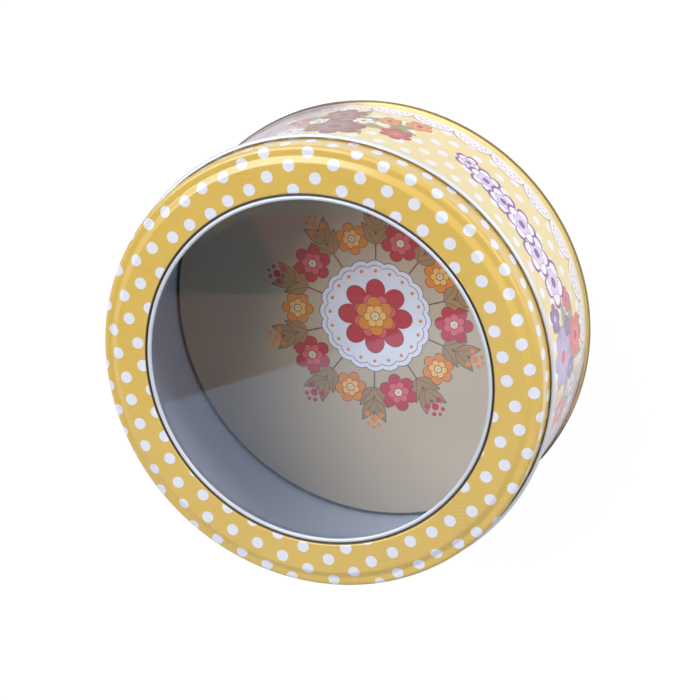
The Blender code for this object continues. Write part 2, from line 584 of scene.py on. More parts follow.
class Effects:
    """The node groups that the finishes share."""

    def __init__(self) -> None:
        """Builds each group once."""
        flat = {"Along": 0.0, "Across": 0.0}
        place = {"Place": (0.0, 0.0, 0.0)}
        dots = {"Spacing": 12.0, "Row Pitch": 8.4, "Lean": 6.0, "Slip": 0.0, "Radius": 2.5}
        petals = {"Radius": 8.0, "Petals": 5.0, "Turn": 0.0}
        leaf = {"Length": 8.0, "Width": 4.0}
        grain = {"Cloud": 0.1, "Streak": 0.1, "Peel": 0.2}
        wear = {"Edge": 0.0, "Amount": 0.3}
        self.polka = EffectGroup("Polka dots", flat | dots, draw_polka_dots)
        self.blossom = EffectGroup("Blossom", flat | petals, draw_blossom)
        self.leaf = EffectGroup("Leaf", flat | leaf, draw_leaf)
        self.grain = EffectGroup("Rolled sheet grain", place | grain, draw_sheet_grain)
        self.wear = EffectGroup("Edge wear", place | wear, draw_edge_wear)


class Place:
    """Where a point lies on its own piece, in millimetres and round the tin's axis."""

    def __init__(self, tree: Tree) -> None:
        """Reads the piece's Object coordinates.

        Args:
            tree: the tree of the piece's material.
        """
        self.tree = tree
        coordinates = add_node(tree, "ShaderNodeTexCoord")
        scaled = add_node(tree, "ShaderNodeVectorMath", operation="SCALE")
        split = add_node(tree, "ShaderNodeSeparateXYZ")
        self.vector = scaled.outputs["Vector"]
        plug(scaled.inputs[0], coordinates.outputs["Object"])
        plug(scaled.inputs["Scale"], 1 / MM)
        plug(split.inputs[0], self.vector)
        self.x, self.y, self.z = (Field(socket) for socket in split.outputs)
        self.azimuth = self.y.math("ARCTAN2", self.x)
        self.radius = length_of(self.x, self.y)

    def attribute(self, name: str) -> Field:
        """Reads a number that the piece's mesh carries."""
        node = add_node(self.tree, "ShaderNodeAttribute", attribute_name=name)
        return Field(node.outputs["Fac"])


class InkStack:
    """Inks laid over a ground one after another, as a press lays them."""

    def __init__(self, tree: Tree, ground: Enum) -> None:
        """Starts from the ground alone."""
        self.tree = tree
        self.top: object = ground

    def lay(self, where: Field, ink: object, strength: float = 1.0) -> None:
        """Prints an ink, or an output that holds a colour, where a mask is 1, over what is there."""
        share = where if strength == 1.0 else where * strength
        self.top = self._mixed(share, self.top, ink)

    def choose(self, second: Field, pair: InkPair) -> Socket:
        """Picks the second ink of a pair where a mask is 1, and else the first."""
        return self._mixed(second, *pair.value)

    def shade(self, tone: Field) -> None:
        """Lightens or darkens everything.

        Args:
            tone: the share to add, 0 on average.
        """
        scale = add_node(self.tree, "ShaderNodeVectorMath", operation="SCALE")
        plug(scale.inputs[0], self.top)
        plug(scale.inputs["Scale"], tone + 1.0)
        self.top = scale.outputs["Vector"]

    def _mixed(self, share: Field, first: object, second: object) -> Socket:
        """Mixes two colours.

        Args:
            share: how much of the second one there is.
            first, second: inks, or outputs that hold a colour.

        Returns:
            The mixed colour.
        """
        node = add_node(self.tree, "ShaderNodeMix", data_type="RGBA")
        factor, first_socket, second_socket = node.inputs[0], node.inputs[6], node.inputs[7]
        plug(factor, share)
        plug(first_socket, first)
        plug(second_socket, second)
        return node.outputs[2]


class DotRows(NamedTuple):
    """Rows of polka dots: how far apart dots and rows are, and how a row is set off from the last."""

    spacing: float
    row_pitch: float
    lean: float
    slip: float
    radius: float


class Press(InkStack):
    """Inks laid on one sheet, with where its points lie and the motifs that can be printed there."""

    def __init__(self, tree: Tree, ground: Ink, effects: Effects) -> None:
        """Sets up a sheet.

        Args:
            tree: the tree of the sheet's material.
            ground: the ink that covers all of it.
            effects: the shared node groups.
        """
        super().__init__(tree, ground)
        self.place = Place(tree)
        self.effects = effects

    def dots(self, rows: DotRows, along: Field, across: Field, ink: Ink) -> None:
        """Prints rows of polka dots.

        Args:
            rows: how the dots are laid out.
            along, across: place from one of the dots, along its row and across the rows.
            ink: what they are printed in.
        """
        values = {
            "Along": along,
            "Across": across,
            "Spacing": rows.spacing,
            "Row Pitch": rows.row_pitch,
            "Lean": rows.lean,
            "Slip": rows.slip,
            "Radius": rows.radius,
        }
        self.lay(self.effects.polka.place(self.tree, values)["Dot"], ink)

    def flower(self, along: Field, across: Field, radius: Amount, petals: int, turn: Amount = 0.0) -> Fields:
        """Draws a flower about its middle and returns the masks to ink it by."""
        values = {"Along": along, "Across": across, "Radius": radius, "Petals": float(petals), "Turn": turn}
        return self.effects.blossom.place(self.tree, values)

    def leaf(self, along: Field, across: Field, length: float, width: float) -> Fields:
        """Draws a leaf from its stalk and returns the masks to ink it by."""
        values = {"Along": along, "Across": across, "Length": length, "Width": width}
        return self.effects.leaf.place(self.tree, values)


@dataclass(frozen=True)
class Finish:
    """A sheet finish: what is printed on it, how it shines and how its grain shows."""

    name: str
    ground: Ink
    roughness: float
    metallic: float = 0.0
    coat: float = 0.0
    coat_roughness: float = 0.1
    shine: float = 0.5
    cloud: float = 0.1
    streak: float = 0.1
    peel: float = 0.3
    wear: float = 0.0
    wear_strength: float = 0.7
    relief: float = 6.0e-6  # in metres

    def paint(self, press: Press) -> None:
        """Lays the print; a plain finish has none."""

    def material(self, effects: Effects) -> bpy.types.Material:
        """Builds the material.

        Args:
            effects: the shared node groups.

        Returns:
            A material with one Principled shader, driven by the piece's own coordinates.
        """
        material, tree = new_material(self.name)
        press = Press(tree, self.ground, effects)
        self.paint(press)
        where = press.place.vector
        values = {"Place": where, "Cloud": self.cloud, "Streak": self.streak, "Peel": self.peel}
        grain = effects.grain.place(tree, values)
        press.shade(grain["Tone"])
        if self.wear:
            values = {"Place": where, "Edge": press.place.attribute("edge"), "Amount": self.wear}
            press.lay(effects.wear.place(tree, values)["Worn"], Ink.TIN_WEAR, self.wear_strength)
        looks = {
            "Base Color": press.top,
            "Roughness": grain["Gloss"] + self.roughness,
            "Normal": add_bump(grain["Height"], self.relief),
            "Metallic": self.metallic,
            "Coat Weight": self.coat,
            "Coat Roughness": self.coat_roughness,
            "Specular IOR Level": self.shine,
        }
        feed(tree.nodes[PRINCIPLED], looks)
        return material


@dataclass(frozen=True)
class LidPrint(Finish):
    """White dots on gold, printed on the flat blank before the lid was drawn."""

    rows: DotRows = DotRows(spacing=12.04, row_pitch=8.41, lean=5.793, slip=0.862, radius=2.52)
    row_angle: float = math.radians(-20.88)
    first_dot: tuple[float, float] = (18.489, 84.029)
    lip_shade_radius: float = 0.0  # from the lid
    lip_shade_soft: float = 0.16

    def paint(self, press: Press) -> None:
        """Lays the dots at the place that each point had in the flat blank, and a painted shade of dark gold
        on the lip's roll.

        Args:
            press: the lid's sheet.
        """
        place = press.place
        blank = place.attribute("blank")
        first_across, first_up = self.first_dot
        across_blank = blank * place.azimuth.math("COSINE") - first_across
        up_blank = blank * place.azimuth.math("SINE") - first_up
        press.dots(self.rows, *turned(across_blank, up_blank, self.row_angle), Ink.WHITE)
        # painted shade: dark gold on the lip's roll where it turns down to the groove
        press.lay(place.radius.below(self.lip_shade_radius, self.lip_shade_soft), Ink.GROOVE)


@dataclass(frozen=True)
class RingTin(Finish):
    """Satin tin of the window ring, with a painted shade of grey brown in the groove on the side towards the
    lid's lip.
    """

    bead_radius: float = 0.0  # from the lid, as the next two are
    groove_shade_top: float = 0.0
    groove_shade_low: float = 0.0

    def paint(self, press: Press) -> None:
        """Lays a painted shade in the groove between the bead and the lip.

        Args:
            press: the ring's sheet.
        """
        place = press.place
        depth = place.z.below(self.groove_shade_top, soft=0.2) * place.z.above(self.groove_shade_low, soft=0.05)
        # painted shade: grey brown in the groove between the bead and the lip
        press.lay(place.radius.above(self.bead_radius, soft=0.1) * depth, Ink.COMPOUND)


@dataclass(frozen=True)
class Blossom:
    """One flower of a group: its place from the group's middle, its size and its turn."""

    along: float
    across: float
    radius: float
    petals: int
    turn: float

    def draw(self, press: Press, along: Field, across: Field, outline: float = 0.0) -> Fields:
        """Draws the flower, or its outline that much wider, and returns the masks to ink it by."""
        radius = self.radius + outline
        return press.flower(along - self.along, across - self.across, radius, self.petals, self.turn)


@dataclass(frozen=True)
class Bloom(Blossom):
    """A flower of a bouquet, with the inks of its petals and of its heart."""

    inks: InkPair
    hearts: InkPair


class Fan(NamedTuple):
    """Leaves of a bouquet that spread from one stalk: its place, their angles in degrees, their size."""

    along: float
    across: float
    first: float
    apart: float
    leaves: int
    length: float
    width: float


class HoleRow(NamedTuple):
    """A row of pin holes in a scallop: its share of the scallop's size, and the holes in it."""

    share: float
    holes: int
    radius: float


@dataclass(frozen=True)
class BodyPrint(Finish):
    """White dots on yellow, a lace edge, bouquets in a pale haze, and blossom garlands between them."""

    radius: float = 0.0  # from the tin
    seam_azimuth: float = 0.0  # from the tin
    seam_half: float = 0.12
    rows: DotRows = DotRows(spacing=11.76, row_pitch=8.14, lean=5.88, slip=0.0, radius=2.45)
    first_dot_azimuth: float = math.radians(22.2)
    first_dot_height: float = 55.3
    panels: int = 4
    panel_azimuth: float = math.radians(92)
    panel_height: float = 40.0
    fans: tuple[Fan, ...] = (
        Fan(3.0, -6.0, first=10, apart=40, leaves=9, length=23.0, width=8.0),
        Fan(-19.0, -8.0, first=120, apart=50, leaves=4, length=12.0, width=5.0),
    )
    blooms: tuple[Bloom, ...] = (
        Bloom(-23.5, 0.0, 7.2, 6, 0.3, InkPair.CRIMSON, InkPair.ORANGE),
        Bloom(-28.0, -19.0, 6.0, 5, 0.9, InkPair.ORANGE, InkPair.CRIMSON),
        Bloom(-16.0, -15.0, 5.4, 5, 1.2, InkPair.ORANGE, InkPair.BROWN),
        Bloom(20.0, 9.0, 6.4, 5, 0.2, InkPair.WHITE, InkPair.ORANGE),
        Bloom(22.5, -11.0, 5.6, 6, 0.5, InkPair.CRIMSON, InkPair.WHITE),
        Bloom(5.0, -17.5, 9.6, 6, 0.6, InkPair.DEEP_ROSE, InkPair.DEEP_BROWN),
        Bloom(2.0, 3.5, 13.0, 7, 0.2, InkPair.ROSE, InkPair.BROWN),
        Bloom(-6.5, -9.0, 4.8, 5, 0.7, InkPair.WHITE, InkPair.ORANGE),
        Bloom(12.5, -6.5, 4.6, 5, 0.1, InkPair.WHITE, InkPair.CRIMSON),
    )
    garlands: int = 2
    garland_azimuth: float = math.radians(40)
    garland_height: float = 38.0
    garland_outline: float = 1.5
    garland: tuple[Blossom, ...] = (
        Blossom(31.0, -6.0, 5.4, 5, 0.4),
        Blossom(-30.0, 0.0, 9.6, 5, 0.9),
        Blossom(20.5, -2.0, 7.6, 6, 1.1),
        Blossom(-15.5, 4.0, 9.4, 6, 0.1),
        Blossom(9.5, 1.0, 7.4, 5, 0.6),
        Blossom(-2.5, 1.0, 8.8, 6, 0.2),
    )
    hazes: int = 2
    haze_azimuth: float = math.radians(137)
    haze_half: float = 62.0
    haze_soft: float = 7.0
    haze_ragged: float = 30.0
    sprinkle_pitch: float = 15.0
    sprinkle_spacing: float = 18.75
    sprinkle_lean: float = 7.5
    sprinkle_radius: float = 3.2
    sprinkle_petals: int = 5
    sprinkle_turn: float = 0.9
    scallops: int = 32
    scallop_azimuth: float = math.radians(28.4)
    lace_low: float = 5.2
    lace_cusp: float = 7.2
    lace_high: float = 14.8
    lace_outline: float = 0.45
    hole_rows: tuple[HoleRow, ...] = (HoleRow(0.7, 7, radius=0.5), HoleRow(0.42, 4, radius=0.36))
    foot_soft: float = 0.8

    def paint(self, press: Press) -> None:
        """Lays dots, lace, haze, bouquets and garlands, from the ground up.

        Args:
            press: the wall's sheet.
        """
        place = press.place
        round_seam = (place.azimuth - self.seam_azimuth).wrap(0.0, FULL_TURN) * self.radius
        from_dot = round_seam - self._arc(self.first_dot_azimuth)
        press.dots(self.rows, from_dot, place.z - self.first_dot_height, Ink.MILK)
        self._lace(press)
        # pale yellow margin below the lace: the print's own pale margin, lightened further as painted light
        # against the shade in the crevice at the seam
        press.lay(place.z.below(self.lace_low, self.foot_soft), Ink.PALE_YELLOW, strength=0.85)
        self._haze(press, self._from(round_seam, self.haze_azimuth, self.hazes))
        pitch = FULL_TURN * self.radius / self.panels
        other = ((round_seam - self._arc(self.panel_azimuth)) / pitch).nearest().odd()
        along = self._from(round_seam, self.panel_azimuth, self.panels)
        self._bouquet(press, along, place.z - self.panel_height, other)
        along = self._from(round_seam, self.garland_azimuth, self.garlands)
        self._garland(press, along, place.z - self.garland_height)
        from_seam = abs((round_seam / self.radius).wrap(-HALF_TURN, HALF_TURN)) * self.radius
        press.lay(from_seam.below(self.seam_half, PRINT_SOFT), Ink.TIN_WEAR)

    def _arc(self, azimuth: float) -> float:
        """Distance round the wall from its side seam to an azimuth."""
        return ((azimuth - self.seam_azimuth) % FULL_TURN) * self.radius

    def _from(self, round_seam: Field, azimuth: float, repeats: int) -> Field:
        """Distance round the wall from the nearest of some evenly spaced azimuths, one of them given."""
        half = HALF_TURN * self.radius / repeats
        return (round_seam - self._arc(azimuth)).wrap(-half, half)

    def _haze(self, press: Press, along: Field) -> None:
        """Lays a pale haze over the dots of every second panel, with clouds and a sprinkle of blossoms.

        Args:
            press: the wall's sheet.
            along: distance round the wall from the haze's middle.
        """
        where = press.place.vector
        wisps = add_noise(where, scale=0.07, detail=3.0) - NOISE_MEAN
        clouds = add_noise(where, scale=0.09, detail=2.0)
        cover = (abs(along) + wisps * self.haze_ragged).below(self.haze_half, self.haze_soft)
        press.lay(cover, Ink.HAZE, strength=0.96)
        press.lay(cover * clouds.above(edge=0.56, soft=0.2), Ink.DUSTY_ROSE, strength=0.3)
        press.lay(cover * clouds.below(edge=0.42, soft=0.16), Ink.TEAL, strength=0.5)
        height = press.place.z
        row = (height / self.sprinkle_pitch).math("FLOOR")
        half = self.sprinkle_spacing / 2
        aside = (along + row * self.sprinkle_lean).wrap(-half, half)
        above = height - (row + 0.5) * self.sprinkle_pitch
        turn = row * self.sprinkle_turn
        flower = press.flower(aside, above, self.sprinkle_radius, self.sprinkle_petals, turn)
        press.lay(cover * flower["Petals"], Ink.MILK, strength=0.8)
        press.lay(cover * (flower["Line"] | flower["Heart"]), Ink.VIOLET, strength=0.6)

    def _bouquet(self, press: Press, along: Field, across: Field, other: Field) -> None:
        """Lays a bunch of flowers in one of two sets of inks.

        Args:
            press: the wall's sheet.
            along, across: place from the bouquet's middle.
            other: 1 where the bouquet takes the second of its inks.
        """
        green = press.choose(other, InkPair.LEAF)
        pen = press.choose(other, InkPair.PEN)
        for fan in self.fans:
            for step in range(fan.leaves):
                angle = math.radians(fan.first + fan.apart * step)
                leaf_place = turned(along - fan.along, across - fan.across, angle)
                leaf = press.leaf(*leaf_place, fan.length, fan.width)
                press.lay(leaf["Leaf"], green)
                press.lay(leaf["Line"], pen, strength=0.7)
        for bloom in self.blooms:
            flower = bloom.draw(press, along, across)
            press.lay(flower["Petals"], press.choose(other, bloom.inks))
            press.lay(flower["Depth"], Ink.MILK, strength=0.25)
            press.lay(flower["Heart"], press.choose(other, bloom.hearts))
            press.lay(flower["Line"], pen, strength=0.75)

    def _garland(self, press: Press, along: Field, across: Field) -> None:
        """Lays a waved row of white blossoms with bold purple outlines.

        Args:
            press: the wall's sheet.
            along, across: place from the garland's middle.
        """
        for blossom in self.garland:
            behind = blossom.draw(press, along, across, self.garland_outline)
            flower = blossom.draw(press, along, across)
            press.lay(behind["Petals"], Ink.PURPLE)
            press.lay(flower["Petals"], Ink.MILK)
            press.lay(flower["Inner"], Ink.LILAC)
            press.lay(flower["Heart"] | flower["Line"], Ink.PURPLE)

    def _lace(self, press: Press) -> None:
        """Lays the scalloped lace along the foot: arches, their outline and rows of pin holes.

        Args:
            press: the wall's sheet.
        """
        height = press.place.z
        half = HALF_TURN / self.scallops
        tall = self.lace_high - self.lace_cusp
        mean = (half * self.radius + tall) / 2
        aside = (press.place.azimuth - self.scallop_azimuth).wrap(-half, half) / half
        rise = (height - self.lace_cusp) / tall
        arch = length_of(aside, rise | 0.0)
        swing = rise.math("ARCTAN2", aside)
        past = (arch - 1.0) * tall
        band = height.above(self.lace_low, PRINT_SOFT)
        press.lay(past.below(self.lace_outline, PRINT_SOFT) * band, Ink.LACE_BROWN)
        press.lay(past.below(0.0, PRINT_SOFT) * band, Ink.MILK)
        for row in self.hole_rows:
            gap = HALF_TURN / row.holes
            apart = (swing - gap / 2).wrap(-gap / 2, gap / 2) * (row.share * mean)
            hole = length_of(apart, (arch - row.share) * mean).below(row.radius, PRINT_SOFT)
            press.lay(hole * rise.above(0.0, soft=0.01), Ink.LACE_GREY, strength=0.85)


class WreathLeaf(NamedTuple):
    """A pair of leaves on a stem of the wreath: where they start and how far they lean."""

    start: float
    lean: float


class Berry(NamedTuple):
    """A berry, or a pair of them, at the end of a stem of the wreath."""

    out: float
    apart: float
    radius: float


class FlowerLayer(NamedTuple):
    """One layer of the medallion's large flower."""

    radius: float
    petals: int
    turn: float
    outer: Ink
    inner: Ink


@dataclass(frozen=True)
class BasePrint(Finish):
    """A flower wreath round a scalloped medallion, printed on the beige inside of the base."""

    sectors: int = 10
    wreath_radius: float = 36.0
    wreath_flower: float = 8.6
    wreath_lesser: float = 1.3
    wreath_petals: int = 6
    stem_half: float = 0.3
    stem_start: float = 26.0
    stem_end: float = 47.0
    leaves: tuple[WreathLeaf, ...] = (WreathLeaf(start=33.0, lean=0.62), WreathLeaf(start=39.0, lean=0.5))
    leaf_length: float = 11.5
    leaf_width: float = 5.2
    berries: tuple[Berry, ...] = (
        Berry(48.0, apart=0.0, radius=1.7),
        Berry(46.0, apart=3.2, radius=1.25),
        Berry(50.6, apart=2.4, radius=1.0),
        Berry(52.0, apart=0.0, radius=0.8),
    )
    medallion_radius: float = 24.0
    medallion_scallops: int = 20
    scallop_depth: float = 1.5
    scallop_roundness: float = 0.7
    border: float = 0.35
    ring_inset: float = 2.2
    ring_half: float = 0.16
    pearl_inset: float = 3.2
    pearl_radius: float = 0.8
    layers: tuple[FlowerLayer, ...] = (
        FlowerLayer(17.0, petals=8, turn=0.0, outer=Ink.CRIMSON, inner=Ink.ROSE),
        FlowerLayer(9.0, petals=6, turn=0.4, outer=Ink.ORANGE, inner=Ink.AMBER),
    )
    corner_shade_radius: float = 0.0  # from the tin
    corner_shade_soft: float = 0.25

    def paint(self, press: Press) -> None:
        """Lays the wreath's sprays and flowers, then the medallion and a painted shade along the edge where
        the base meets the wall.

        Args:
            press: the base's sheet.
        """
        self._sprays(press)
        self._flowers(press)
        self._medallion(press)
        # painted shade: a dark ring along the base's edge, where its corner meets the wall
        press.lay(press.place.radius.above(self.corner_shade_radius, self.corner_shade_soft), Ink.EDGE_DARK)

    @staticmethod
    def _sector(place: Place, step: float, offset: float) -> tuple[Field, Field, Field]:
        """Reads a point from the middle line of its sector.

        Args:
            place: the piece's coordinates.
            step: angle of one sector.
            offset: angle of the first sector's middle line.

        Returns:
            How far out the point is, how far aside, and 1 in every second sector.
        """
        turn = place.azimuth - offset
        local = turn.wrap(-step / 2, step / 2)
        odd = (turn / step).nearest().odd()
        return place.radius * local.math("COSINE"), place.radius * local.math("SINE"), odd

    @staticmethod
    def _ink(press: Press, flower: Fields, outer: object, inner: object) -> None:
        """Inks a flower of two rings, with a cream heart and brown lines."""
        for part, ink in (("Petals", outer), ("Inner", inner), ("Heart", Ink.CREAM), ("Line", Ink.BROWN)):
            press.lay(flower[part], ink)

    def _sprays(self, press: Press) -> None:
        """Lays the stems, leaves and berries that stand between the flowers.

        Args:
            press: the base's sheet.
        """
        step = FULL_TURN / self.sectors
        out, aside, odd = self._sector(press.place, step, step / 2)
        apart = abs(aside)
        stem_run = out.between(self.stem_start, self.stem_end, PRINT_SOFT)
        press.lay(apart.below(self.stem_half, PRINT_SOFT) * stem_run, Ink.BROWN)
        for pair in self.leaves:
            leaf_place = turned(out - pair.start, apart, pair.lean)
            leaf = press.leaf(*leaf_place, self.leaf_length, self.leaf_width)
            press.lay(leaf["Leaf"], Ink.LEAF_BROWN)
            press.lay(leaf["Line"], Ink.BROWN)
        ink = press.choose(odd, InkPair.WREATH)
        for berry in self.berries:
            reach = length_of(out - berry.out, apart - berry.apart)
            press.lay(reach.below(berry.radius, PRINT_SOFT), ink)

    def _flowers(self, press: Press) -> None:
        """Lays the ring of flowers, crimson and orange by turns, the orange ones smaller.

        Args:
            press: the base's sheet.
        """
        out, aside, odd = self._sector(press.place, FULL_TURN / self.sectors, 0.0)
        radius = self.wreath_flower - odd * self.wreath_lesser
        flower = press.flower(out - self.wreath_radius, aside, radius, self.wreath_petals)
        outer = press.choose(odd, InkPair.WREATH)
        inner = press.choose(odd, InkPair.WREATH_INNER)
        self._ink(press, flower, outer, inner)

    def _medallion(self, press: Press) -> None:
        """Lays the white scalloped disc, its ring, its pearls and the large flower on it.

        Args:
            press: the base's sheet.
        """
        place = press.place
        lobe = abs((place.azimuth * (self.medallion_scallops / 2)).math("COSINE"))
        past = place.radius - lobe.power(self.scallop_roundness) * self.scallop_depth - self.medallion_radius
        press.lay(past.below(self.border, PRINT_SOFT), Ink.BROWN)
        press.lay(past.below(0.0, PRINT_SOFT), Ink.WHITE)
        press.lay(abs(past + self.ring_inset).below(self.ring_half, PRINT_SOFT), Ink.BROWN)
        out, aside, _ = self._sector(place, FULL_TURN / self.medallion_scallops, 0.0)
        from_pearl = length_of(out - (self.medallion_radius - self.pearl_inset), aside)
        press.lay(from_pearl.below(self.pearl_radius, PRINT_SOFT), Ink.ORANGE)
        for layer in self.layers:
            flower = press.flower(place.x, place.y, layer.radius, layer.petals, layer.turn)
            self._ink(press, flower, layer.outer, layer.inner)


@dataclass(frozen=True)
class RimLacquer(Finish):
    """Lacquer of the base's outside: gold panel, pale ledge, hazy below the hazy panels, brown seam face."""

    brown_radius: float = 0.0  # from the tin
    rim_soft: float = 0.1
    hazy_line: float = 0.55
    gold_line: float = 0.3
    gold_soft: float = 0.3
    ledge: float = 1.3
    panel_gold: float = 0.6
    pale_azimuth: float = math.radians(35)
    pale_half: float = math.radians(60)
    pale_soft: float = math.radians(6)

    def paint(self, press: Press) -> None:
        """Lays the gold, the haze below every second panel of the wall and the brown face of the seam.

        Args:
            press: the outside of the base's sheet.
        """
        radius = press.place.radius
        from_pale = abs((press.place.azimuth - self.pale_azimuth).wrap(-QUARTER, QUARTER))
        past_ledge = radius.above(self.brown_radius - self.ledge, self.rim_soft)
        hazy = from_pale.above(self.pale_half, self.pale_soft) * past_ledge
        panel = radius.below(self.brown_radius - 2 * self.ledge, self.gold_soft)
        press.lay(panel, Ink.GOLD, self.panel_gold)
        press.lay(radius.above(self.brown_radius - self.gold_line, self.gold_soft), Ink.GOLD)
        press.lay(hazy, Ink.HAZE, strength=0.9)
        # brown on the seam's outer face, from this radius outward
        press.lay(radius.above(self.brown_radius, self.rim_soft), Ink.RIM_BROWN)
        # a grey-brown line along the seam's outer edge below the hazy panels
        press.lay(hazy * radius.above(self.brown_radius - self.hazy_line, self.rim_soft), Ink.COMPOUND)


@dataclass(frozen=True)
class ClearFilm:
    """Clear stiff film of the window, faintly waved and scuffed."""

    name: str = "clear_film"
    roughness: float = 0.01
    scuff_roughness: float = 0.08
    tint: Colour = (0.97, 0.98, 0.98)
    index: float = 1.5
    wave: float = 3.0e-6  # in metres
    wave_strength: float = 0.5

    def material(self) -> bpy.types.Material:
        """Builds the material.

        Returns:
            Glass that lets the lamps through to what is behind it.
        """
        material, tree = new_material(self.name)
        shader = tree.nodes[PRINCIPLED]
        where = Place(tree).vector
        waves = add_noise(where, scale=0.03, detail=1.0)
        scuffs = add_noise(where, scale=1.3, detail=5.0).above(edge=0.7, soft=0.03)
        looks = {
            "Base Color": (*self.tint, 1.0),
            "IOR": self.index,
            "Transmission Weight": 1.0,
            "Roughness": scuffs * self.scuff_roughness + self.roughness,
            "Normal": add_bump(waves, self.wave, self.wave_strength),
        }
        feed(shader, looks)
        lamp_rays = rays_of(tree, Ray.SHADOW, Ray.DIFFUSE)
        air = add_shader(tree, "ShaderNodeBsdfTransparent")
        show(add_shader(tree, "ShaderNodeMixShader", lamp_rays, shader.outputs[0], air))
        return material


class ProfilePoint(NamedTuple):
    """A point of a turned outline, with what the finishes read there."""

    radius: float
    height: float
    blank: float
    edge: float
    side: Side


class Station(NamedTuple):
    """A point of a sheet's middle line, with the direction to its left."""

    point: Vector
    left: Vector
    blank: float
    edge: float


class SheetPath:
    """Middle line of a bent sheet in the (radius, height) half plane, drawn by runs and bends."""

    ARC_STEP = math.radians(10)
    SUPPORT = 0.35

    def __init__(self, radius: float, height: float, heading: float, sheet: float) -> None:
        """Starts the path.

        Args:
            radius, height: the first point.
            heading: direction there, in radians from outward.
            sheet: thickness of the sheet.
        """
        self.point = Vector((radius, height))
        self.heading = heading
        self.sheet = sheet
        self.blank_square = radius * radius
        self.stations: list[Station] = []
        self._keep(0.0)

    def _left(self) -> Vector:
        """Direction to the left of the heading."""
        return Vector((-math.sin(self.heading), math.cos(self.heading)))

    def _keep(self, edge: float) -> None:
        """Adds a station here, with the radius this ring of metal had in the flat blank.

        Args:
            edge: 1 on a bend, where print wears off, and 0 elsewhere.
        """
        if self.stations:
            last = self.stations[-1].point
            self.blank_square += (last.x + self.point.x) * (self.point - last).length
        self.stations.append(Station(self.point.copy(), self._left(), math.sqrt(self.blank_square), edge))

    def run(self, length: float) -> SheetPath:
        """Goes straight on, with a support station close to each end of a long run.

        Args:
            length: how far it goes.

        Returns:
            The path itself.
        """
        start = self.point.copy()
        direction = Vector((math.cos(self.heading), math.sin(self.heading)))
        stops = [length]
        if length > 3 * self.SUPPORT:
            stops = [self.SUPPORT, length - self.SUPPORT, length]
        for stop in stops:
            self.point = start + stop * direction
            self._keep(0.0)
        return self

    def bend(self, radius: float, turn: float) -> SheetPath:
        """Turns along an arc.

        Args:
            radius: the arc's radius.
            turn: how far it turns, in radians, positive to the left.

        Returns:
            The path itself.
        """
        side = math.copysign(1, turn)
        steps = max(3, math.ceil(abs(turn) / self.ARC_STEP))
        centre = self.point + side * radius * self._left()
        for step in range(steps):
            self.heading += turn / steps
            self.point = centre - side * radius * self._left()
            self._keep(1.0 if step < steps - 1 else 0.0)
        return self

    def blank_matches(self, radius: float) -> SheetPath:
        """Shifts the blank so that the point reached lies at a given radius in it.

        Args:
            radius: where the point lies in the blank.

        Returns:
            The path itself.
        """
        shift = radius * radius - self.blank_square
        self.blank_square += shift
        self.stations = [
            station._replace(blank=math.sqrt(max(0.0, station.blank ** 2 + shift)))
            for station in self.stations
        ]
        return self

    def outline(self, left: Side) -> list[ProfilePoint]:
        """Outline of the sheet: its left face forwards, then its right face back.

        Args:
            left: which face of the sheet is on the left.

        Returns:
            The outline's points.
        """
        right = Side(1 - left)
        half = self.sheet / 2
        forward = [self._face(station, half, left) for station in self.stations]
        back = [self._face(station, -half, right) for station in reversed(self.stations)]
        return forward + back

    @staticmethod
    def _face(station: Station, offset: float, side: Side) -> ProfilePoint:
        """A point on one face of the sheet."""
        point = station.point + offset * station.left
        return ProfilePoint(point.x, point.y, station.blank, station.edge, side)


